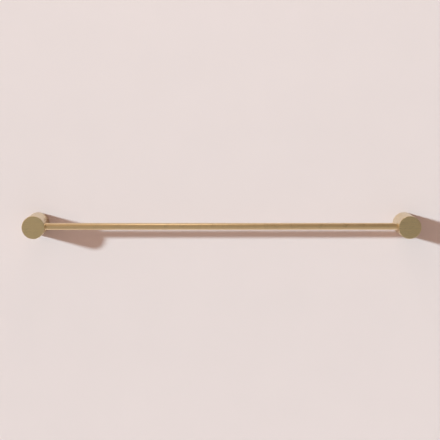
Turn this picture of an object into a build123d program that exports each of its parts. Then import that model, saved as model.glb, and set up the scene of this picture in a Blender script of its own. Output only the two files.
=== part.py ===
"""A wall-mounted towel rail: a thin round rail held between two plain round posts.

The wall is the plane y = 0. The rail runs along X and the posts stand out towards -Y. The origin is
on the wall, midway between the posts, at the height of their axes. All sizes are in millimetres.
"""

import os

from build123d import *

# The whole rail
overall_length = 750.0  # over the outer sides of both posts
projection = 80.0  # from the wall to the posts' front faces

# The rail tube and the plugs in its ends
rail_diameter = 13.0
rail_wall = 1.0
rail_setback = 23.0  # from the posts' front faces back to the rail's axis
rail_past_axis = 8.0  # how far the rail runs on beyond each post's axis
rail_end_chamfer = 0.3
end_plug_length = 20.0
end_plug_chamfer = 0.8

# The posts, with a pocket in the back and a blind bore in the side
post_diameter = 43.0
post_wall = 3.5  # round the pocket
post_core = 10.0  # solid metal between the pocket and the rail's bore
front_edge_radius = 1.0
back_edge_chamfer = 0.4

# The mounting plates, round pucks with two upright slots and a groove in the rim
plate_thickness = 10.0
plate_chamfer = 0.5
slot_length = 8.0  # over its round ends
slot_edge_wall = 2.25  # metal between a slot's end and the groove
groove_depth = 1.5

# The wall screws, whose threads start where they leave the plates
wall_screw_length = 45.0  # under the head
wall_screw_diameter = 4.5  # outside the thread
wall_screw_shank_diameter = 3.3
wall_screw_point = 5.0
wall_screw_tip_diameter = 0.5
pan_head_diameter = 8.0
pan_head_height = 2.6
pan_head_edge_radius = 1.8
cross_recess_length = 4.4
cross_recess_width = 1.0
cross_recess_depth = 1.6

# The washers under the wall screws' heads
washer_diameter = 9.0
washer_thickness = 1.0

# The socket screws: the grub screw locks a post to its plate, the set screw holds the rail's end
grub_screw_diameter = 5.0
grub_screw_tip_diameter = 2.0
grub_screw_recess = 0.2  # below the post's surface
grub_socket_across_flats = 2.5
grub_socket_depth = 2.0
set_screw_diameter = 6.0
set_screw_tip_chamfer = 1.0
set_socket_across_flats = 3.0
set_socket_depth = 3.0

# Clearances, each on the radius or at one end
rail_clearance = 0.1  # rail in the post's bore
rail_end_gap = 0.5  # rail's end to the bore's floor
press_clearance = 0.02  # end plug in the rail tube
plate_clearance = 0.25  # mounting plate in the post's pocket
thread_clearance = 0.05  # socket screw in its tapped hole
tip_gap = 0.05  # socket screw's tip to what it presses on
groove_clearance = 0.1  # grub screw's tip in the groove's floor
slot_clearance = 0.25  # wall screw in the plate's slot
washer_clearance = 0.15  # wall screw in its washer

# Places worked out from the sizes
post_radius = post_diameter / 2
post_x = (overall_length - post_diameter) / 2
rail_radius = rail_diameter / 2
rail_standoff = projection - rail_setback  # from the wall to the rail's axis
rail_half_length = post_x + rail_past_axis
bore_radius = rail_radius + rail_clearance
bore_depth = post_radius + rail_past_axis + rail_end_gap
pocket_radius = post_radius - post_wall
pocket_depth = rail_standoff - bore_radius - post_core
plate_radius = pocket_radius - plate_clearance
groove_y = plate_thickness / 2  # from the wall to the middle of the groove
groove_floor_radius = plate_radius - groove_depth
groove_floor_half_width = grub_screw_tip_diameter / 2 + groove_clearance
wall_screw_radius = wall_screw_diameter / 2
slot_width = wall_screw_diameter + 2 * slot_clearance
fixing_offset = groove_floor_radius - slot_edge_wall - slot_length / 2  # screw to post axis
head_seat_y = plate_thickness + washer_thickness  # from the wall to under the screw's head

SIDES = {"left": -1, "right": 1}
HEIGHTS = {"upper": 1, "lower": -1}


def facing_room(x, standoff, z):
    """A plane parallel to the wall that faces the room, with its local Y upwards."""
    return Plane(origin=(x, -standoff, z), x_dir=(1, 0, 0), z_dir=(0, -1, 0))


def facing_wall(x, standoff, z):
    """A plane parallel to the wall that faces the wall, with its local Y upwards."""
    return Plane(origin=(x, -standoff, z), x_dir=(-1, 0, 0), z_dir=(0, 1, 0))


def along_section(x, standoff, z):
    """An upright plane through a piece's axis: local X runs to the wall, local Y upwards."""
    return Plane(origin=(x, -standoff, z), x_dir=(0, 1, 0), z_dir=(1, 0, 0))


def save(piece, name):
    """Label a finished piece and write it under its own name."""
    piece.label = name
    export_step(piece, f"parts/{name}.step")


def build_rail_tube():
    """The round tube between the posts, open at both ends."""
    with BuildPart() as rail_tube:
        with BuildSketch(Plane.YZ.offset(-rail_half_length)):
            with Locations((-rail_standoff, 0)):
                Circle(rail_radius)
                Circle(rail_radius - rail_wall, mode=Mode.SUBTRACT)
        extrude(amount=2 * rail_half_length)
        outer_edges = rail_tube.faces().filter_by(Axis.X).edges().sort_by(SortBy.RADIUS)[-2:]
        chamfer(outer_edges, length=rail_end_chamfer)
    save(rail_tube.part, "rail_tube")


def build_end_plug(side, direction):
    """The solid plug in one end of the tube, flush with it, chamfered where it goes in."""
    end = Plane(origin=(direction * rail_half_length, -rail_standoff, 0), z_dir=(-direction, 0, 0))
    with BuildPart() as end_plug:
        with BuildSketch(end):
            Circle(rail_radius - rail_wall - press_clearance)
        extrude(amount=end_plug_length)
        inner_face = end_plug.faces().sort_by(Axis((0, 0, 0), (-direction, 0, 0)))[-1]
        chamfer(inner_face.edges(), length=end_plug_chamfer)
    save(end_plug.part, f"rail_end_plug_{side}")


def build_post(side, direction):
    """A plain cylinder with a flat front, its edges broken, bored from the back and the side."""
    x = direction * post_x
    inner_side = Plane(
        origin=(direction * (post_x - post_radius), -rail_standoff, 0), z_dir=(-direction, 0, 0)
    )
    underside = Plane(origin=(x, -groove_y, -post_radius), z_dir=(0, 0, -1))
    with BuildPart() as post:
        with BuildSketch(facing_room(x, 0, 0)):
            Circle(post_radius)
        extrude(amount=projection)
        fillet(post.faces().sort_by(Axis.Y)[0].edges(), radius=front_edge_radius)
        chamfer(post.faces().sort_by(Axis.Y)[-1].edges(), length=back_edge_chamfer)
        with Locations(facing_wall(x, 0, 0)):
            Hole(radius=pocket_radius, depth=pocket_depth)
            Hole(radius=set_screw_diameter / 2 + thread_clearance, depth=rail_standoff)
        with Locations(inner_side):
            Hole(radius=bore_radius, depth=bore_depth)
        with Locations(underside):
            Hole(radius=grub_screw_diameter / 2 + thread_clearance, depth=post_radius)
    save(post.part, f"post_{side}")


def build_mounting_plate(side, direction):
    """A round puck against the wall: two upright slots, and a groove for the grub screw's point."""
    x = direction * post_x
    with BuildPart() as mounting_plate:
        with BuildSketch(facing_room(x, 0, 0)):
            Circle(plate_radius)
            with Locations((0, fixing_offset), (0, -fixing_offset)):
                SlotOverall(slot_length, slot_width, rotation=90, mode=Mode.SUBTRACT)
        extrude(amount=plate_thickness)
        front_face = mounting_plate.faces().sort_by(Axis.Y)[0]
        chamfer(front_face.outer_wire().edges(), length=plate_chamfer)
        with BuildSketch(along_section(x, groove_y, 0)):
            with BuildLine():
                Polyline(
                    (-groove_floor_half_width - groove_depth, plate_radius),
                    (-groove_floor_half_width, groove_floor_radius),
                    (groove_floor_half_width, groove_floor_radius),
                    (groove_floor_half_width + groove_depth, plate_radius),
                    close=True,
                )
            make_face()
        revolve(axis=Axis((x, 0, 0), (0, 1, 0)), mode=Mode.SUBTRACT)
    save(mounting_plate.part, f"mounting_plate_{side}")


def build_wall_screw(name, x, z):
    """A pan-head screw through the plate: plain shank, thread's outer form, point, cross recess."""
    thread_end = wall_screw_length - wall_screw_point
    with BuildPart() as wall_screw:
        with BuildSketch(along_section(x, head_seat_y, z)):
            with BuildLine():
                Polyline(
                    (-pan_head_height, 0),
                    (-pan_head_height, pan_head_diameter / 2),
                    (0, pan_head_diameter / 2),
                    (0, wall_screw_shank_diameter / 2),
                    (head_seat_y, wall_screw_shank_diameter / 2),
                    (head_seat_y, wall_screw_radius),
                    (thread_end, wall_screw_radius),
                    (wall_screw_length, wall_screw_tip_diameter / 2),
                    (wall_screw_length, 0),
                    close=True,
                )
            make_face()
        revolve(axis=Axis((x, 0, z), (0, 1, 0)))
        fillet(wall_screw.faces().sort_by(Axis.Y)[0].edges(), radius=pan_head_edge_radius)
        with BuildSketch(facing_room(x, head_seat_y + pan_head_height, z)):
            Rectangle(cross_recess_length, cross_recess_width)
            Rectangle(cross_recess_width, cross_recess_length)
        extrude(amount=-cross_recess_depth, mode=Mode.SUBTRACT)
    save(wall_screw.part, f"wall_screw_{name}")


def build_washer(name, x, z):
    """A flat washer on the plate, under the wall screw's head."""
    with BuildPart() as washer:
        with BuildSketch(facing_room(x, plate_thickness, z)):
            Circle(washer_diameter / 2)
            Circle(wall_screw_radius + washer_clearance, mode=Mode.SUBTRACT)
        extrude(amount=washer_thickness)
    save(washer.part, f"washer_{name}")


def build_grub_screw(side, direction):
    """The socket screw up through the post's underside, its pointed end in the plate's groove."""
    tip_radius = groove_floor_radius + tip_gap
    length = post_radius - grub_screw_recess - tip_radius
    tip = Plane(origin=(direction * post_x, -groove_y, -tip_radius), z_dir=(0, 0, -1))
    with BuildPart() as grub_screw:
        with BuildSketch(tip):
            Circle(grub_screw_diameter / 2)
        extrude(amount=length)
        point = (grub_screw_diameter - grub_screw_tip_diameter) / 2
        chamfer(grub_screw.faces().sort_by(Axis.Z)[-1].edges(), length=point)
        with BuildSketch(tip.offset(length)):
            RegularPolygon(grub_socket_across_flats / 2, side_count=6, major_radius=False)
        extrude(amount=-grub_socket_depth, mode=Mode.SUBTRACT)
    save(grub_screw.part, f"post_grub_screw_{side}")


def build_set_screw(side, direction):
    """The socket screw in the floor of the post's pocket, pressing on the rail's end."""
    tip = facing_wall(direction * post_x, rail_standoff - rail_radius - tip_gap, 0)
    with BuildPart() as set_screw:
        with BuildSketch(tip):
            Circle(set_screw_diameter / 2)
        extrude(amount=post_core)
        chamfer(set_screw.faces().sort_by(Axis.Y)[0].edges(), length=set_screw_tip_chamfer)
        with BuildSketch(tip.offset(post_core)):
            RegularPolygon(set_socket_across_flats / 2, side_count=6, major_radius=False)
        extrude(amount=-set_socket_depth, mode=Mode.SUBTRACT)
    save(set_screw.part, f"rail_set_screw_{side}")


os.makedirs("parts", exist_ok=True)
build_rail_tube()
for side, direction in SIDES.items():
    build_end_plug(side, direction)
    build_post(side, direction)
    build_mounting_plate(side, direction)
    build_grub_screw(side, direction)
    build_set_screw(side, direction)
    for height, upwards in HEIGHTS.items():
        build_wall_screw(f"{side}_{height}", direction * post_x, upwards * fixing_offset)
        build_washer(f"{side}_{height}", direction * post_x, upwards * fixing_offset)
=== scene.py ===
"""Looks for a wall-mounted towel rail in satin brushed brass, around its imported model.

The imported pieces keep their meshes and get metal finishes. The four wall screws and the four
socket screws are new surfaces, with their recesses and threads, in place of their plain forms.
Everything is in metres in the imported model's frame: X along the rail, Y from the posts' fronts
towards their backs, which lie at y = 0, and Z up.
"""

import logging
import math
from collections.abc import Sequence
from dataclasses import dataclass
from enum import Enum
from typing import Union

import bpy
import numpy as np
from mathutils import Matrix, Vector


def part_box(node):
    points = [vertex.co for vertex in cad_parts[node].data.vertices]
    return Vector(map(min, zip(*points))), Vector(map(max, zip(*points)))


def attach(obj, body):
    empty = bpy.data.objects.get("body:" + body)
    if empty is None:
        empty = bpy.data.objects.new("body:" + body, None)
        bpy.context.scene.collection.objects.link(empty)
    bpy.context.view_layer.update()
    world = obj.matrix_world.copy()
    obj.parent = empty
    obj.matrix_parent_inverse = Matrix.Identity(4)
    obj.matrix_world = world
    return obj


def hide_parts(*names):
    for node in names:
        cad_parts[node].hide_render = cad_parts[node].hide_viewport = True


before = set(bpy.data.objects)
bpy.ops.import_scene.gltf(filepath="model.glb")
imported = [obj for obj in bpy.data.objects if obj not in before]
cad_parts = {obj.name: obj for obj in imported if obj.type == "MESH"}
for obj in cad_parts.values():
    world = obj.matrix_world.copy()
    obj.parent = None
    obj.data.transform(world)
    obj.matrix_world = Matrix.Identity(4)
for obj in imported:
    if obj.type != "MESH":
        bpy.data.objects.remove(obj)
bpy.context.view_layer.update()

LOG = logging.getLogger("towel_rail")
BODY = "root"
MM = 0.001
TINY = 1e-9  # keeps a divisor from being zero
SHARP_ANGLE = 48.0  # degrees between two faces, from which a new surface's edge shows sharp
NOISE_MIDDLE = 0.5  # of the noise node's values
NOISE_SPREAD = 3.0  # widens them to about -1 to 1
FLATS = 6  # of a hexagon socket
HALF_FLAT = math.pi / FLATS  # the angle from the middle of a flat to its corner

Triple = tuple[float, float, float]

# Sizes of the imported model, in metres
POST_X = 0.3535  # from the middle to each post's axis
POST_FRONT_Y = -0.080
RAIL_Y = -0.057
GRUB_SCREW_Y = -0.005
FIXING_Z = 0.010  # from a post's axis to its wall screws


class Side(Enum):
    """The two ends of the rail, as seen from the front."""

    LEFT = -1
    RIGHT = 1

    @property
    def label(self) -> str:
        """The side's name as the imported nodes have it."""
        return self.name.lower()


class Height(Enum):
    """The two wall screws behind each post."""

    LOWER = -1
    UPPER = 1

    @property
    def label(self) -> str:
        """The height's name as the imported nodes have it."""
        return self.name.lower()


class Slot(Enum):
    """The record's material slots."""

    SATIN_BRASS = "satin_brass"
    BARE_BRASS = "bare_brass"
    STAINLESS_STEEL = "stainless_steel"
    ZINC_PLATED_STEEL = "zinc_plated_steel"


class Value:
    """A number that varies over a surface. Python's operators on it add Math nodes."""

    def __init__(self, graph: "NodeGraph", socket: bpy.types.NodeSocket) -> None:
        """Wrap an output socket of a node graph."""
        self.graph = graph
        self.socket = socket

    def _math(self, operation: str, first: "Operand", second: "Operand") -> "Value":
        """Add one Math node.

        Args:
            operation: What the node does with its two values.
            first: The first value.
            second: The second value.

        Returns:
            The node's result.
        """
        made = self.graph.node("ShaderNodeMath", {"operation": operation}, {0: first, 1: second})
        return Value(self.graph, made.outputs[0])

    def __add__(self, other: "Operand") -> "Value":
        """This value plus another."""
        return self._math("ADD", self, other)

    def __radd__(self, other: "Operand") -> "Value":
        """Another value plus this one."""
        return self._math("ADD", other, self)

    def __sub__(self, other: "Operand") -> "Value":
        """This value less another."""
        return self._math("SUBTRACT", self, other)

    def __rsub__(self, other: "Operand") -> "Value":
        """Another value less this one."""
        return self._math("SUBTRACT", other, self)

    def __mul__(self, other: "Operand") -> "Value":
        """This value times another."""
        return self._math("MULTIPLY", self, other)

    def __rmul__(self, other: "Operand") -> "Value":
        """Another value times this one."""
        return self._math("MULTIPLY", other, self)

    def __pow__(self, power: float) -> "Value":
        """This value to a power."""
        return self._math("POWER", self, power)

    def __abs__(self) -> "Value":
        """This value without its sign."""
        return self._math("ABSOLUTE", self, 0.0)

    def clamped(self) -> "Value":
        """This value held between 0 and 1."""
        return self._math("MINIMUM", self._math("MAXIMUM", self, 0.0), 1.0)


Operand = Union[Value, float]
SocketInput = Union[Value, bpy.types.NodeSocket, float, tuple[float, ...]]


class NodeGraph:
    """The nodes of one material or of the world."""

    def __init__(self, tree: bpy.types.NodeTree) -> None:
        """Start an empty graph."""
        self.tree = tree
        tree.nodes.clear()

    def node(
        self,
        kind: str,
        settings: dict[str, object] | None = None,
        sockets: dict[str | int, SocketInput] | None = None,
    ) -> bpy.types.Node:
        """Add a node: its settings come first, then the values or links of its sockets.

        Args:
            kind: The node's type.
            settings: The node's own properties.
            sockets: What goes into each input, by its name or number.

        Returns:
            The new node.
        """
        made = self.tree.nodes.new(kind)
        for name, setting in (settings or {}).items():
            setattr(made, name, setting)
        for name, given in (sockets or {}).items():
            source = given.socket if isinstance(given, Value) else given
            if isinstance(source, bpy.types.NodeSocket):
                self.tree.links.new(source, made.inputs[name])
            else:
                made.inputs[name].default_value = source
        return made

    def place(self) -> bpy.types.NodeSocket:
        """A point's place on the piece, in metres."""
        return self.node("ShaderNodeTexCoord").outputs["Object"]

    def xyz(self) -> tuple[Value, Value, Value]:
        """The three parts of a point's place."""
        parts = self.node("ShaderNodeSeparateXYZ", sockets={0: self.place()})
        return tuple(Value(self, part) for part in parts.outputs)

    def point(self, x: Operand, y: Operand, z: Operand) -> bpy.types.NodeSocket:
        """A vector made of three values."""
        return self.node("ShaderNodeCombineXYZ", sockets={0: x, 1: y, 2: z}).outputs[0]

    def noise(self, at: bpy.types.NodeSocket, scale: float, detail: float = 2.0) -> Value:
        """Smooth noise about 0, mostly from -1 to 1.

        Args:
            at: Where the noise is read.
            scale: Its cells per unit of that vector.
            detail: How many finer layers it has.

        Returns:
            The noise.
        """
        made = self.node(
            "ShaderNodeTexNoise", sockets={"Vector": at, "Scale": scale, "Detail": detail}
        )
        return (Value(self, made.outputs[0]) - NOISE_MIDDLE) * NOISE_SPREAD

    def tint(self, colour: Triple, change: Value) -> bpy.types.NodeSocket:
        """A colour made lighter or darker from place to place.

        Args:
            colour: The plain colour.
            change: The share by which it is lighter, or darker where it is negative.

        Returns:
            The colour as it varies.
        """
        made = self.node(
            "ShaderNodeVectorMath", {"operation": "SCALE"}, {0: colour, "Scale": 1.0 + change}
        )
        return made.outputs[0]

    def mixed(self, share: Value, first: Triple, second: Triple) -> bpy.types.NodeSocket:
        """A colour between two.

        Args:
            share: How much of the second colour there is, from 0 to 1.
            first: The colour at 0.
            second: The colour at 1.

        Returns:
            The mixed colour.
        """
        first_socket, second_socket, result = 6, 7, 2  # the Mix node's sockets for colours
        made = self.node(
            "ShaderNodeMix",
            {"data_type": "RGBA"},
            {0: share, first_socket: (*first, 1.0), second_socket: (*second, 1.0)},
        )
        return made.outputs[result]

    def bump(self, height: Value, depth: float) -> bpy.types.NodeSocket:
        """A surface's normal, tilted by a relief.

        Args:
            height: The relief, about 0.
            depth: How many metres a height of 1 stands for.

        Returns:
            The tilted normal.
        """
        sockets = {"Height": height, "Distance": depth, "Strength": 1.0}
        return self.node("ShaderNodeBump", sockets=sockets).outputs[0]

    def finish(self, kind: str, shader: bpy.types.Node) -> None:
        """Lead a shader to the graph's output node."""
        self.node(kind, sockets={0: shader.outputs[0]})


@dataclass(frozen=True)
class MetalFinish:
    """A bare metal surface with the fine marks of how it was worked.

    Each kind of metal gives its own marks. The colour is that of the metal's reflection.
    """

    name: str
    colour: Triple
    roughness: float
    mark_depth: float  # metres
    colour_change: float  # share by which marks lighten or darken the colour
    roughness_change: float
    cloud_scale: float = 45.0  # clouds per metre
    cloud_roughness: float = 0.03
    cloud_share: float = 0.5  # the clouds' colour change, as a share of the marks'

    def marks(self, graph: NodeGraph) -> Value:
        """The height of the work marks, about 0."""
        raise NotImplementedError

    def material(self) -> bpy.types.Material:
        """Build the finish, or take it if it is already built.

        Returns:
            The material.
        """
        known = bpy.data.materials.get(self.name)
        if known is not None:
            return known
        made = bpy.data.materials.new(self.name)
        made.use_nodes = True
        graph = NodeGraph(made.node_tree)
        marks = self.marks(graph)
        clouds = graph.noise(graph.place(), self.cloud_scale)
        roughness = marks * self.roughness_change + clouds * self.cloud_roughness + self.roughness
        cloud_change = self.colour_change * self.cloud_share
        shade = marks * self.colour_change + clouds * cloud_change
        metal = graph.node(
            "ShaderNodeBsdfPrincipled",
            sockets={
                "Base Color": graph.tint(self.colour, shade),
                "Metallic": 1.0,
                "Roughness": roughness.clamped(),
                "Normal": graph.bump(marks, self.mark_depth),
            },
        )
        graph.finish("ShaderNodeOutputMaterial", metal)
        made.diffuse_color = (*self.colour, 1.0)
        return made


class Brushing(Enum):
    """How brushed lines run: whether their place hardly matters along X, along Y and along Z."""

    ALONG_RAIL = (True, False, False)
    ROUND_POST = (True, False, True)
    ACROSS_FRONT = (True, True, False)


@dataclass(frozen=True)
class BrushedMetal(MetalFinish):
    """A brushed surface: long fine lines with shorter, finer strokes among them."""

    lines_across: float = 4600.0  # per metre
    lines_along: float = 7.0  # per metre
    lines_detail: float = 1.0
    strokes_across: float = 9500.0  # per metre
    strokes_along: float = 55.0  # per metre
    strokes_detail: float = 0.0
    stroke_share: float = 0.45

    def streaks(
        self, graph: NodeGraph, brushing: Brushing, across: float, along: float, detail: float
    ) -> Value:
        """Noise drawn out one way.

        Args:
            graph: The finish's nodes.
            brushing: The way it is drawn out.
            across: How many streaks there are per metre across that way.
            along: How many there are per metre along it.
            detail: How many finer layers it has.

        Returns:
            Its height, about 0.
        """
        scaled = (
            part * (along if runs else across) for part, runs in zip(graph.xyz(), brushing.value)
        )
        return graph.noise(graph.point(*scaled), 1.0, detail)

    def brushed(self, graph: NodeGraph, brushing: Brushing) -> Value:
        """Lines and strokes that run one way.

        Args:
            graph: The finish's nodes.
            brushing: The way they run.

        Returns:
            Their height, about 0.
        """
        lines = self.streaks(
            graph, brushing, self.lines_across, self.lines_along, self.lines_detail
        )
        strokes = self.streaks(
            graph, brushing, self.strokes_across, self.strokes_along, self.strokes_detail
        )
        return lines * (1 - self.stroke_share) + strokes * self.stroke_share


@dataclass(frozen=True)
class BrushedRail(BrushedMetal):
    """Brushed lengthwise."""

    def marks(self, graph: NodeGraph) -> Value:
        """Lines along the rail."""
        return self.brushed(graph, Brushing.ALONG_RAIL)


@dataclass(frozen=True)
class BrushedPost(BrushedMetal):
    """Brushed round the post's side, and straight across its flat front."""

    blend_depth: float = 0.0008  # over which the side's lines give way to the front's, in metres

    def marks(self, graph: NodeGraph) -> Value:
        """Rings on the side and level lines on the front.

        Args:
            graph: The finish's nodes.

        Returns:
            Their height, about 0.
        """
        y = graph.xyz()[1]
        front = ((POST_FRONT_Y + 2 * self.blend_depth - y) * (1 / self.blend_depth)).clamped()
        side_lines = self.brushed(graph, Brushing.ROUND_POST)
        front_lines = self.brushed(graph, Brushing.ACROSS_FRONT)
        return side_lines * (1 - front) + front_lines * front


class TurningAxis(Enum):
    """The axis about which a piece was turned on a lathe."""

    POST = "a post's axis"
    RAIL = "the rail's axis"
    GRUB_SCREW = "a grub screw's axis"


@dataclass(frozen=True)
class TurnedMetal(MetalFinish):
    """The fine rings that a lathe leaves, round the piece and across its faces."""

    axis: TurningAxis = TurningAxis.POST
    rings: float = 5200.0  # per metre
    wander: float = 60.0  # per metre, along a ring

    def marks(self, graph: NodeGraph) -> Value:
        """Noise in thin rings, by the distance from the axis and the place along it.

        Args:
            graph: The finish's nodes.

        Returns:
            Its height, about 0.
        """
        x, y, z = graph.xyz()
        off_post = abs(x) - POST_X
        along, one, other = {
            TurningAxis.POST: (y, off_post, z),
            TurningAxis.RAIL: (x, y - RAIL_Y, z),
            TurningAxis.GRUB_SCREW: (z, off_post, y - GRUB_SCREW_Y),
        }[self.axis]
        radius = (one * one + other * other) ** 0.5
        ringed = graph.point(
            radius * self.rings + one * self.wander, along * self.rings, other * self.wander
        )
        return graph.noise(ringed, 1.0)


@dataclass(frozen=True)
class PlatedMetal(MetalFinish):
    """A plated surface, faintly pitted, with cloudy passivation."""

    pits: float = 2600.0  # per metre
    pit_detail: float = 3.0

    def marks(self, graph: NodeGraph) -> Value:
        """Fine even noise."""
        return graph.noise(graph.place(), self.pits, self.pit_detail)


BRASS = (0.755, 0.622, 0.382)
RAIL_BRASS_WARM_REFLECTION = (0.805, 0.638, 0.395)  # slightly redder than the posts' brass: a painted reflection, standing in for the warmer light that the rail reflects
BARE_BRASS = (0.80, 0.66, 0.36)
STEEL = (0.60, 0.60, 0.60)
ZINC = (0.70, 0.73, 0.76)

# The rail's finish uses the redder brass, a painted reflection of warmer light on the same metal
# as the posts.
RAIL_FINISH = BrushedRail("satin_brass_along_rail", RAIL_BRASS_WARM_REFLECTION, 0.30, 4e-6, 0.035, 0.06)
POST_FINISH = BrushedPost("satin_brass_round_post", BRASS, 0.30, 4e-6, 0.035, 0.06)
PLATE_FINISH = TurnedMetal("bare_brass_turned_plate", BARE_BRASS, 0.27, 5e-6, 0.03, 0.05)
PLUG_FINISH = TurnedMetal(
    "bare_brass_turned_plug", BARE_BRASS, 0.30, 5e-6, 0.03, 0.05, axis=TurningAxis.RAIL
)
SET_SCREW_FINISH = TurnedMetal("stainless_steel_set_screw", STEEL, 0.28, 4e-6, 0.03, 0.05)
GRUB_SCREW_FINISH = TurnedMetal(
    "stainless_steel_grub_screw", STEEL, 0.28, 4e-6, 0.03, 0.05, axis=TurningAxis.GRUB_SCREW
)
ZINC_FINISH = PlatedMetal(
    "bright_zinc_plate", ZINC, 0.32, 4e-6, 0.03, 0.04, cloud_scale=320.0, cloud_roughness=0.07
)


@dataclass(frozen=True)
class PlasterFinish:
    """A plain pale matt surface for the backdrop and floor, see-through from behind."""

    name: str
    colour: Triple
    roughness: float = 0.9
    gloss: float = 0.2  # a plain surface has 0.5
    mottle: float = 0.012  # share by which it is lighter or darker
    mottle_scale: float = 9.0  # per metre
    mottle_detail: float = 4.0
    grain_scale: float = 900.0  # per metre
    grain_depth: float = 2e-5  # metres

    def material(self) -> bpy.types.Material:
        """Build the finish.

        Returns:
            The material.
        """
        made = bpy.data.materials.new(self.name)
        made.use_nodes = True
        graph = NodeGraph(made.node_tree)
        mottle = graph.noise(graph.place(), self.mottle_scale, self.mottle_detail)
        grain = graph.noise(graph.place(), self.grain_scale)
        plaster = graph.node(
            "ShaderNodeBsdfPrincipled",
            sockets={
                "Base Color": graph.tint(self.colour, mottle * self.mottle),
                "Roughness": self.roughness,
                "Specular IOR Level": self.gloss,
                "Normal": graph.bump(grain, self.grain_depth),
            },
        )
        clear = graph.node("ShaderNodeBsdfTransparent")
        behind = graph.node("ShaderNodeNewGeometry").outputs["Backfacing"]
        mix = graph.node(
            "ShaderNodeMixShader",
            sockets={0: behind, 1: plaster.outputs[0], 2: clear.outputs[0]},
        )
        graph.finish("ShaderNodeOutputMaterial", mix)
        return made


def as_column(values: Sequence[float]) -> np.ndarray:
    """The values one below another, to be combined with a row."""
    return np.array(values)[:, None]


def grid_faces(rows: int, columns: int) -> np.ndarray:
    """Quads of a grid whose columns close into a ring, row by row.

    Args:
        rows: Number of rings.
        columns: Points on each ring.

    Returns:
        Four point numbers for each quad, facing away from the axis where rings run along it
        anticlockwise.
    """
    row, column = np.meshgrid(np.arange(rows - 1), np.arange(columns), indexing="ij")
    following = (column + 1) % columns
    corners = (
        row * columns + column,
        row * columns + following,
        (row + 1) * columns + following,
        (row + 1) * columns + column,
    )
    return np.stack(corners, axis=-1).reshape(-1, 4)


def closed_surface(name: str, rings: np.ndarray, start: Triple, end: Triple) -> bpy.types.Object:
    """Make a closed piece from rings of points, with a point that closes each end.

    Args:
        name: The piece's name.
        rings: Points by ring and by place on the ring, in metres.
        start: The point that closes the first ring.
        end: The point that closes the last ring.

    Returns:
        The piece, linked to the scene.
    """
    rows, columns, _ = rings.shape
    points = np.vstack([rings.reshape(-1, 3), start, end])
    last_row = (rows - 1) * columns
    here = np.arange(columns)
    following = (here + 1) % columns
    first_pole, last_pole = rows * columns, rows * columns + 1
    start_cap = np.stack([following, here, np.full(columns, first_pole)], axis=-1)
    end_cap = np.stack(
        [last_row + here, last_row + following, np.full(columns, last_pole)], axis=-1
    )
    faces = grid_faces(rows, columns).tolist() + start_cap.tolist() + end_cap.tolist()
    mesh = bpy.data.meshes.new(name)
    mesh.from_pydata(points.tolist(), [], faces)
    mesh.shade_smooth()
    mesh.set_sharp_from_angle(angle=math.radians(SHARP_ANGLE))
    mesh.update()
    piece = bpy.data.objects.new(name, mesh)
    bpy.context.scene.collection.objects.link(piece)
    return piece


def adopt(piece: bpy.types.Object, node: str, finish: MetalFinish) -> None:
    """Put a new piece in a packed one's place, dress it and report it.

    Args:
        piece: The new piece.
        node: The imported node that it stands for.
        finish: The metal finish that it gets.
    """
    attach(piece, BODY)
    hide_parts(node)
    piece.data.materials.append(finish.material())
    LOG.info("%s: %s, %d points", piece.name, finish.name, len(piece.data.vertices))


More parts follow.
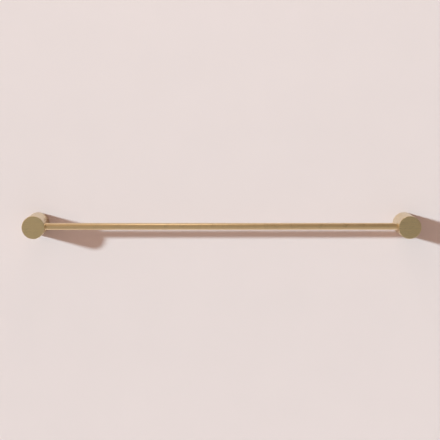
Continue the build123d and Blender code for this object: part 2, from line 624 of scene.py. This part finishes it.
@dataclass
class WallScrew:
    """A pan-head screw through a mounting plate: cross recess, shank, thread and point.

    Sizes are in millimetres, and places along the axis are the frame's y. The rings run from
    the middle of the recess's floor over the head and down the shaft to the point.
    """

    side: Side
    height: Height
    seat_y: float = -11.0  # under the head
    head_radius: float = 4.0
    head_height: float = 2.6
    head_edge_radius: float = 1.8
    recess_reach: float = 2.2  # from the axis to the end of each arm
    recess_half_width: float = 0.5
    recess_depth: float = 1.6
    recess_taper: float = 0.66  # the floor's outline as a share of the mouth's
    floor_rings: tuple[float, ...] = (0.25, 0.6, 0.95, 1.0)  # shares of the floor's outline
    floor_depths: tuple[float, ...] = (0.97, 0.9, 0.8, 0.76)  # shares of the recess's depth
    mouth_rings: tuple[float, ...] = (0.96, 1.0)  # shares of the mouth's outline
    mouth_depths: tuple[float, ...] = (0.06, 0.0)  # under the head's top
    edge_start: float = 0.12  # angle at which the rounded edge's first ring lies, in radians
    edge_rings: int = 10
    under_bevel: float = 0.08  # of the sharp edge under the head
    neck_flare: float = 0.25  # by which the shank is wider under the head
    neck_length: float = 0.2  # over which it narrows to the shank
    shank_rings: tuple[float, ...] = (-7.0, -2.0)  # places of the shank's middle rings
    shank_radius: float = 1.65
    crest_radius: float = 2.25
    root_radius: float = 1.5
    pitch: float = 2.0
    thread_end: float = 34.0
    point_length: float = 5.0
    tip_radius: float = 0.25
    root_share: float = 0.72  # most of the crest's radius that the root has at the point
    ridge_power: int = 3  # which narrows the ridge
    thread_start: float = -0.2  # where the ridge begins to rise
    run_in: float = 1.2  # over which the ridge rises and the shank narrows to the root
    steps_per_turn: int = 14  # rings for each turn of the thread
    steps_per_sector: int = 7  # points between two corners of the recess

    @property
    def name(self) -> str:
        """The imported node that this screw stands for."""
        return f"wall_screw_{self.side.label}_{self.height.label}"

    @property
    def head_top(self) -> float:
        """Where the head's flat top is along the axis."""
        return self.seat_y - self.head_height

    def angles(self) -> np.ndarray:
        """Angles round the axis, with a point on every corner of the recess.

        One quarter runs over three sectors, between the corners at minus and plus the arm's
        own half angle, at 45 degrees, and at 90 degrees less that half angle. It is repeated
        by quarter turns.

        Returns:
            The angles, in radians.
        """
        arm = math.atan2(self.recess_half_width, self.recess_reach)
        corners = (-arm, arm, math.pi / 4, math.pi / 2 - arm)
        quarter = np.concatenate(
            [
                np.linspace(low, high, self.steps_per_sector, endpoint=False)
                for low, high in zip(corners[:-1], corners[1:])
            ]
        )
        return (quarter[None, :] + np.arange(4)[:, None] * math.pi / 2).ravel()

    def recess_outline(self, angle: np.ndarray) -> np.ndarray:
        """The distance from the axis to the edge of the cross, in each direction.

        In any direction it is the larger of the two bars' reaches. A bar's reach is the
        smaller of its half length over the cosine and its half width over the sine.

        Args:
            angle: Directions round the axis, in radians.

        Returns:
            The distances.
        """
        cosine = np.maximum(np.abs(np.cos(angle)), TINY)
        sine = np.maximum(np.abs(np.sin(angle)), TINY)
        level = np.minimum(self.recess_reach / cosine, self.recess_half_width / sine)
        upright = np.minimum(self.recess_half_width / cosine, self.recess_reach / sine)
        return np.maximum(level, upright)

    def head(self, angle: np.ndarray) -> tuple[np.ndarray, np.ndarray]:
        """The head: the cross's floor and walls, the rounded edge and the underside.

        The rings of the recess are the cross's outline times a share, and the others are
        circles. The rounded edge is a quarter circle of the head's edge radius.

        Args:
            angle: Directions round the axis, in radians.

        Returns:
            The distance from the axis and the place along it, by ring and direction.
        """
        cross = self.recess_outline(angle)[None, :]
        floor = as_column(self.floor_rings) * self.recess_taper
        floor_y = self.head_top + self.recess_depth * as_column(self.floor_depths)
        mouth = as_column(self.mouth_rings)
        mouth_y = self.head_top + as_column(self.mouth_depths)
        flat_radius = self.head_radius - self.head_edge_radius
        turn = as_column(np.linspace(self.edge_start, math.pi / 2, self.edge_rings))
        edge = flat_radius + self.head_edge_radius * np.sin(turn)
        edge_y = self.head_top + self.head_edge_radius * (1 - np.cos(turn))
        inner = self.head_radius - self.under_bevel
        under = as_column((self.head_radius, inner, self.shank_radius + self.neck_flare))
        under_y = as_column((self.seat_y - self.under_bevel, self.seat_y, self.seat_y))
        circles = np.vstack([edge, under]) + 0 * cross
        radius = np.vstack([cross * floor, cross * mouth, circles])
        along = np.vstack([floor_y, mouth_y, edge_y, under_y])
        return radius, along + 0 * radius

    def shaft(self, angle: np.ndarray) -> tuple[np.ndarray, np.ndarray]:
        """The plain shank, the thread and the point.

        The thread's radius is the root's plus the tooth's height times a ridge. The ridge is a
        power of a raised cosine, whose phase is the place along the axis in pitches less the
        direction in turns. At the point the crest and the root close in together.

        Args:
            angle: Directions round the axis, in radians.

        Returns:
            The distance from the axis and the place along it, by ring and direction.
        """
        shank_y = (self.seat_y + self.neck_length, *self.shank_rings, -self.run_in)
        turns = (self.thread_end + self.run_in) / self.pitch
        rings = int(turns * self.steps_per_turn)
        thread_y = np.linspace(-self.run_in, self.thread_end, rings)[1:]
        along = as_column(np.concatenate([shank_y, thread_y]))
        phase = 2 * math.pi * along / self.pitch - angle[None, :]
        ridge = (0.5 + 0.5 * np.cos(phase)) ** self.ridge_power
        widening = self.crest_radius - self.tip_radius
        cone = self.tip_radius + widening * (self.thread_end - along) / self.point_length
        crest = np.minimum(self.crest_radius, cone)
        sunk = np.clip((along + self.run_in) / self.run_in, 0, 1)
        root = self.root_radius + (self.shank_radius - self.root_radius) * (1 - sunk)
        root = np.minimum(root, self.root_share * crest)
        grown = np.clip((along - self.thread_start) / self.run_in, 0, 1)
        return root + (crest - root) * ridge * grown, along + 0 * ridge

    def build(self) -> bpy.types.Object:
        """Carry the screw's profile round its axis, close it at both ends and dress it.

        Returns:
            The screw, in place.
        """
        angle = self.angles()
        head_radius, head_y = self.head(angle)
        shaft_radius, shaft_y = self.shaft(angle)
        radius = np.vstack([head_radius, shaft_radius])
        along = np.vstack([head_y, shaft_y])
        x = self.side.value * POST_X
        z = self.height.value * FIXING_Z
        rings = np.stack(
            [x + radius * np.sin(angle) * MM, along * MM, z + radius * np.cos(angle) * MM], axis=-1
        )
        floor_y = (self.head_top + self.recess_depth) * MM
        screw = closed_surface(
            self.name + "_threaded", rings, (x, floor_y, z), (x, self.thread_end * MM, z)
        )
        adopt(screw, self.name, ZINC_FINISH)
        return screw


@dataclass
class SocketScrew:
    """A headless screw: hexagon socket, machine thread with a bevel at each end, flat tip.

    Sizes are in millimetres. Places along it run from the socket's end to the tip, and so do
    its rings, which begin at the middle of the socket's floor.
    """

    node: str
    finish: MetalFinish
    start: Triple  # the middle of the socket's end
    first: Triple  # first, second and along are directions, each square to the others
    second: Triple
    along: Triple
    crest_radius: float
    length: float
    pitch: float
    tip_radius: float
    across_flats: float
    socket_depth: float
    tooth_share: float = 0.61  # the tooth's height as a share of the pitch
    crest_flat: float = 0.125  # its flat crest, and the root's, as a share of the pitch
    mouth_depth: float = 0.15  # of the bevel round the socket's mouth
    mouth_share: float = 1.02  # the round mouth's radius, as a share of the hexagon's corners'
    floor_cone: float = 0.3  # depth of the drilled cone in the socket's floor
    floor_rings: tuple[float, ...] = (0.3, 0.7, 1.0, 1.0)  # shares of the hexagon's outline
    floor_depths: tuple[float, ...] = (0.7, 0.3, 0.0, -0.3)  # past the socket's, in cone depths
    steps_per_turn: int = 12  # rings for each turn of the thread
    steps_per_flat: int = 12  # points along each flat of the socket

    @property
    def end_radius(self) -> float:
        """The flat end's radius, where the thread's root meets it."""
        return self.crest_radius - self.tooth_share * self.pitch

    def socket(self, angle: np.ndarray) -> tuple[np.ndarray, np.ndarray]:
        """The socket's coned floor, its six walls, its round mouth and the flat end.

        In each direction the hexagon lies at half its width over the cosine of the angle to the
        nearest flat's middle.

        Args:
            angle: Directions round the axis, in radians.

        Returns:
            The distance from the axis and the place along it, by ring and direction.
        """
        off_flat = (angle + HALF_FLAT) % (2 * HALF_FLAT) - HALF_FLAT
        hexagon = (self.across_flats / 2 / np.cos(off_flat))[None, :]
        floor = self.socket_depth + self.floor_cone * np.array(self.floor_depths)
        mouth = self.across_flats / 2 / math.cos(HALF_FLAT) * self.mouth_share
        ends = as_column((mouth, self.end_radius))
        radius = np.vstack([hexagon * as_column(self.floor_rings), hexagon, ends + 0 * hexagon])
        along = np.concatenate([floor, [self.mouth_depth, 0.0, 0.0]])
        return radius, as_column(along) + 0 * radius

    def thread(self, angle: np.ndarray) -> tuple[np.ndarray, np.ndarray]:
        """The thread between its two bevels, and the flat tip.

        The thread's radius is the root's plus the tooth's height times a ridge. The ridge is a
        triangle wave, clipped flat at crest and root, whose phase is the place along the axis
        in pitches less the direction in turns. The bevels are cones at 45 degrees that start
        from the end's and the tip's radius, and the smallest of the three radii holds.

        Args:
            angle: Directions round the axis, in radians.

        Returns:
            The distance from the axis and the place along it, by ring and direction.
        """
        rings = int(self.length / self.pitch * self.steps_per_turn)
        along = as_column(np.linspace(0.0, self.length, rings + 1)[1:])
        phase = (along / self.pitch - angle[None, :] / (2 * math.pi)) % 1.0
        wave = 1 - np.abs(2 * phase - 1)
        flat = self.crest_flat
        ridge = np.clip((wave - flat) / (1 - 2 * flat), 0, 1)
        threaded = self.end_radius + (self.crest_radius - self.end_radius) * ridge
        bevel = np.minimum(self.end_radius + along, self.tip_radius + self.length - along)
        return np.minimum(threaded, bevel), along + 0 * ridge

    def build(self) -> bpy.types.Object:
        """Carry the screw's profile round its axis, close it at both ends and dress it.

        Returns:
            The screw, in place.
        """
        steps = FLATS * self.steps_per_flat
        angle = np.linspace(0, 2 * math.pi, steps, endpoint=False) + HALF_FLAT
        socket_radius, socket_place = self.socket(angle)
        thread_radius, thread_place = self.thread(angle)
        radius = np.vstack([socket_radius, thread_radius])[:, :, None]
        place = np.vstack([socket_place, thread_place])[:, :, None]
        start, along = np.array(self.start), np.array(self.along)
        outwards = np.outer(np.cos(angle), self.first) + np.outer(np.sin(angle), self.second)
        rings = (start + radius * outwards + place * along) * MM
        floor = (start + (self.socket_depth + self.floor_cone) * along) * MM
        tip = (start + self.length * along) * MM
        screw = closed_surface(self.node + "_threaded", rings, tuple(floor), tuple(tip))
        adopt(screw, self.node, self.finish)
        return screw


def dress_node(node: str, finish: MetalFinish) -> None:
    """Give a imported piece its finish, and report it.

    Args:
        node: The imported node's name.
        finish: The metal finish that it gets.
    """
    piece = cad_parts[node]
    if not piece.material_slots:
        piece.data.materials.append(None)
    for place in piece.material_slots:
        place.link = "OBJECT"
        place.material = finish.material()
    low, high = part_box(node)
    size = " x ".join(f"{(b - a) / MM:.1f}" for a, b in zip(low, high))
    LOG.info("%s: %s, %s mm", node, finish.name, size)


@dataclass
class Rail:
    """The tube between the posts, and the plugs in its ends."""

    tube: str = "rail_tube"
    plug: str = "rail_end_plug"

    def dress(self) -> None:
        """Brush the tube lengthwise and leave the plugs as turned."""
        dress_node(self.tube, RAIL_FINISH)
        for side in Side:
            dress_node(f"{self.plug}_{side.label}", PLUG_FINISH)


@dataclass
class Post:
    """One post with its mounting plate and its two socket screws. Sizes are in millimetres."""

    side: Side
    grub_screw_y: float = GRUB_SCREW_Y / MM
    grub_screw_end_z: float = -21.3
    set_screw_end_y: float = -40.45

    def dress(self) -> None:
        """Brush the post, and leave its mounting plate as turned."""
        dress_node(f"post_{self.side.label}", POST_FINISH)
        dress_node(f"mounting_plate_{self.side.label}", PLATE_FINISH)

    def grub_screw(self) -> SocketScrew:
        """The screw up through the post's underside, which locks it to its plate.

        Returns:
            The screw's maker.
        """
        return SocketScrew(
            node=f"post_grub_screw_{self.side.label}",
            finish=GRUB_SCREW_FINISH,
            start=(self.side.value * POST_X / MM, self.grub_screw_y, self.grub_screw_end_z),
            first=(1.0, 0.0, 0.0),
            second=(0.0, 1.0, 0.0),
            along=(0.0, 0.0, 1.0),
            crest_radius=2.5,
            length=5.0,
            pitch=0.8,
            tip_radius=1.0,
            across_flats=2.5,
            socket_depth=1.8,
        )

    def set_screw(self) -> SocketScrew:
        """The screw in the floor of the post's pocket, which holds the rail's end.

        Returns:
            The screw's maker.
        """
        return SocketScrew(
            node=f"rail_set_screw_{self.side.label}",
            finish=SET_SCREW_FINISH,
            start=(self.side.value * POST_X / MM, self.set_screw_end_y, 0.0),
            first=(1.0, 0.0, 0.0),
            second=(0.0, 0.0, 1.0),
            along=(0.0, -1.0, 0.0),
            crest_radius=3.0,
            length=10.0,
            pitch=1.0,
            tip_radius=2.0,
            across_flats=3.0,
            socket_depth=2.8,
        )

    def build(self) -> None:
        """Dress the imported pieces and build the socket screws."""
        self.dress()
        self.grub_screw().build()
        self.set_screw().build()


@dataclass
class WallFixing:
    """A wall screw and the washer under its head."""

    side: Side
    height: Height

    def build(self) -> None:
        """Build the screw and dress its washer."""
        WallScrew(self.side, self.height).build()
        dress_node(f"washer_{self.side.label}_{self.height.label}", ZINC_FINISH)


@dataclass
class Backdrop:
    """A plain pale board behind the rail and a plain pale floor, both seen from one side only.

    The board has a round hole behind each post, narrower than the post, so that light from behind
    reaches the fixings.
    """

    half_width: float = 0.62
    top: float = 0.62
    bottom: float = -0.62
    behind: float = 0.0002  # from the posts' backs to the board's surface
    hole_radius: float = 0.0205
    hole_steps: int = 24  # points between two corner directions of a hole
    floor_z: float = -1.1
    floor_reach: float = 9.0
    board_finish: PlasterFinish = PlasterFinish("pale_board", (0.82, 0.657, 0.657))
    floor_finish: PlasterFinish = PlasterFinish("pale_floor", (0.68, 0.62, 0.59))

    def board_half(self, side: Side) -> np.ndarray:
        """One half of the board, as a ring round its hole.

        The inner ring is a circle. In each direction the outer ring lies where a ray from the
        hole's middle leaves the half's rectangle, at the smaller of the two distances to its
        upright and level edges. The directions to the four corners are among the ring's.

        Args:
            side: Which half.

        Returns:
            Points of the inner and then of the outer ring, anticlockwise from the front.
        """
        middle = side.value * POST_X
        left = middle - min(0.0, side.value * self.half_width)
        right = max(0.0, side.value * self.half_width) - middle
        reaches = (
            (-left, self.bottom),
            (right, self.bottom),
            (right, self.top),
            (-left, self.top),
        )
        corners = [math.atan2(up, across) for across, up in reaches]
        corners.append(corners[0] + 2 * math.pi)
        angle = np.concatenate(
            [
                np.linspace(low, high, self.hole_steps, endpoint=False)
                for low, high in zip(corners[:-1], corners[1:])
            ]
        )
        cosine, sine = np.cos(angle), np.sin(angle)
        across = np.where(cosine > 0, right, left) / np.maximum(np.abs(cosine), TINY)
        upward = np.where(sine > 0, self.top, -self.bottom) / np.maximum(np.abs(sine), TINY)
        reach = np.stack([np.full_like(angle, self.hole_radius), np.minimum(across, upward)])
        return np.stack(
            [middle + reach * cosine, np.full_like(reach, self.behind), reach * sine], axis=-1
        )

    def sheet(
        self, name: str, points: np.ndarray, faces: np.ndarray, finish: PlasterFinish
    ) -> None:
        """Make one flat sheet that is stage, not part of the rail.

        Args:
            name: The sheet's name.
            points: Its points.
            faces: Four point numbers for each face, anticlockwise as seen from its shown side.
            finish: Its finish.
        """
        mesh = bpy.data.meshes.new(name)
        mesh.from_pydata(points.reshape(-1, 3).tolist(), [], faces.tolist())
        mesh.materials.append(finish.material())
        made = bpy.data.objects.new(name, mesh)
        bpy.context.scene.collection.objects.link(made)
        LOG.info("%s: stage", name)

    def build(self) -> None:
        """Make the board, which faces the front, and the floor, which faces up."""
        halves = [self.board_half(side) for side in Side]
        columns = halves[0].shape[1]
        ring = grid_faces(2, columns)[:, ::-1]
        faces = np.vstack([ring, ring + 2 * columns])
        self.sheet("backdrop_board", np.vstack(halves), faces, self.board_finish)
        r, z = self.floor_reach, self.floor_z
        floor = np.array([(-r, -r, z), (r, -r, z), (r, r, z), (-r, r, z)])
        self.sheet("studio_floor", floor, np.array([(0, 1, 2, 3)]), self.floor_finish)


def lamp_turn(away: Sequence[float]) -> Triple:
    """The rotation that turns a lamp to what it lights.

    Args:
        away: The direction from what it lights to the lamp.

    Returns:
        The rotations about X, Y and Z, in radians.
    """
    x, y, z = away
    return math.atan2(math.hypot(x, y), z), 0.0, math.atan2(x, -y)


@dataclass
class SoftLamp:
    """A flat oblong lamp, whose size softens its light."""

    name: str
    place: Triple
    aim: Triple
    width: float
    depth: float
    power: float  # watts
    colour: Triple

    def build(self) -> None:
        """Hang the lamp and turn it to what it lights."""
        data = bpy.data.lights.new(self.name, "AREA")
        data.shape = "RECTANGLE"
        data.size, data.size_y = self.width, self.depth
        data.energy, data.color = self.power, self.colour
        lamp = bpy.data.objects.new(self.name, data)
        lamp.rotation_euler = lamp_turn(np.subtract(self.place, self.aim))
        lamp.location = self.place
        bpy.context.scene.collection.objects.link(lamp)


@dataclass
class Studio:
    """The light: soft light from all round, a key light from the left, and soft lamps.

    The light from all round comes more from the left, and less from above. It is less red in a
    soft cone before the rail, which is what the posts' flat fronts reflect. The key light casts
    the shadows and shows in no metal.
    """

    ambient: Triple = (0.525, 0.397, 0.300)
    ambient_before: Triple = (0.338, 0.355, 0.330)
    cone_towards: Triple = (0.0, -0.9945, -0.1045)  # from the rail to the cone's middle
    cone_edge: float = 0.93  # cosine of the cone's half angle, where it begins
    cone_full: float = 0.985  # cosine of the half angle within which it is full
    left_level: float = 1.85  # times the colours above
    right_level: float = 0.35
    left_edge: float = -0.60  # the direction's part along X, from which the left's level holds
    right_edge: float = 0.40
    above_loss: float = 0.2  # share by which it is dimmer straight above
    key_towards: Triple = (-0.7867, -0.5785, 0.2158)  # from the rail to the light
    key_colour: Triple = (0.68, 0.944, 1.0)
    key_strength: float = 3.9
    key_angle: float = 4.0  # degrees across, which softens the shadows' edges

    def build(self) -> None:
        """Set up the light from all round, the key light and the lamps."""
        self.surround()
        self.key_light()
        for lamp in self.lamps():
            lamp.build()

    def surround(self) -> None:
        """Set up the world's light.

        The cone's share grows evenly with the cosine of the angle to its middle. The level
        grows evenly towards the left, and falls evenly with the direction's rise above level.
        """
        world = bpy.data.worlds.new("studio_light")
        world.use_nodes = True
        graph = NodeGraph(world.node_tree)
        direction = graph.node("ShaderNodeTexCoord").outputs["Generated"]
        parts = graph.node("ShaderNodeSeparateXYZ", sockets={0: direction})
        before = graph.node(
            "ShaderNodeVectorMath",
            {"operation": "DOT_PRODUCT"},
            {0: direction, 1: self.cone_towards},
        )
        towards_right, rise = Value(graph, parts.outputs[0]), Value(graph, parts.outputs[2])
        cosine = Value(graph, before.outputs["Value"])
        cone_span = self.cone_full - self.cone_edge
        cone = ((cosine - self.cone_edge) * (1 / cone_span)).clamped()
        colour = graph.mixed(cone, self.ambient, self.ambient_before)
        side_span = self.right_edge - self.left_edge
        left = ((self.right_edge - towards_right) * (1 / side_span)).clamped()
        level = left * (self.left_level - self.right_level) + self.right_level
        level = level * (1.0 - rise.clamped() * self.above_loss)
        sky = graph.node("ShaderNodeBackground", sockets={"Color": colour, "Strength": level})
        graph.finish("ShaderNodeOutputWorld", sky)
        bpy.context.scene.world = world

    def key_light(self) -> None:
        """Set up the sun that casts the shadows."""
        data = bpy.data.lights.new("key_light", "SUN")
        data.energy, data.color = self.key_strength, self.key_colour
        data.angle = math.radians(self.key_angle)
        key = bpy.data.objects.new("key_light", data)
        key.rotation_euler = lamp_turn(self.key_towards)
        key.visible_glossy = False
        bpy.context.scene.collection.objects.link(key)

    def lamps(self) -> list[SoftLamp]:
        """The overhead lamp, and the one that lights the fixings from behind the board.

        Returns:
            The lamps' makers.
        """
        overhead = SoftLamp(
            name="overhead_lamp",
            place=(-0.147, -0.45, 1.3),
            aim=(-0.147, 0.0, 0.0),
            width=0.28,
            depth=0.25,
            power=1.05,
            colour=(1.0, 0.90, 0.80),
        )
        back = SoftLamp(
            name="back_lamp",
            place=(0.9, 1.8, 1.2),
            aim=(0.0, 0.0, 0.0),
            width=1.2,
            depth=1.2,
            power=22.0,
            colour=(1.0, 0.96, 0.92),
        )
        return [overhead, back]


@dataclass
class PhotoCamera:
    """The camera at the photograph's viewing angle, nearly square to the posts and above them."""

    place: Triple = (-0.0325, -2.5088, 0.2594)
    pitch: float = -5.758  # degrees, negative looks down
    roll: float = -0.054  # degrees, negative raises the picture's left
    turn: float = -0.679  # degrees, negative turns right
    lens: float = 106.64  # mm, on a sensor 36 mm wide
    sensor: float = 36.0
    nearest: float = 0.05  # that it shows
    farthest: float = 60.0

    def build(self) -> None:
        """Make the camera and use it for the scene."""
        data = bpy.data.cameras.new("photo_camera")
        data.lens, data.sensor_width = self.lens, self.sensor
        data.clip_start, data.clip_end = self.nearest, self.farthest
        camera = bpy.data.objects.new("photo_camera", data)
        camera.location = self.place
        camera.rotation_euler = (
            math.radians(90 + self.pitch),
            math.radians(self.roll),
            math.radians(self.turn),
        )
        bpy.context.scene.collection.objects.link(camera)
        bpy.context.scene.camera = camera


def main() -> None:
    """Build and dress the rail, then set up the stage, the light and the camera."""
    logging.basicConfig(level=logging.INFO, format="%(message)s")
    bpy.context.scene.view_settings.view_transform = "Standard"
    PhotoCamera().build()
    Rail().dress()
    for side in Side:
        Post(side).build()
        for height in Height:
            WallFixing(side, height).build()
    Backdrop().build()
    Studio().build()


if __name__ == "__main__":
    main()
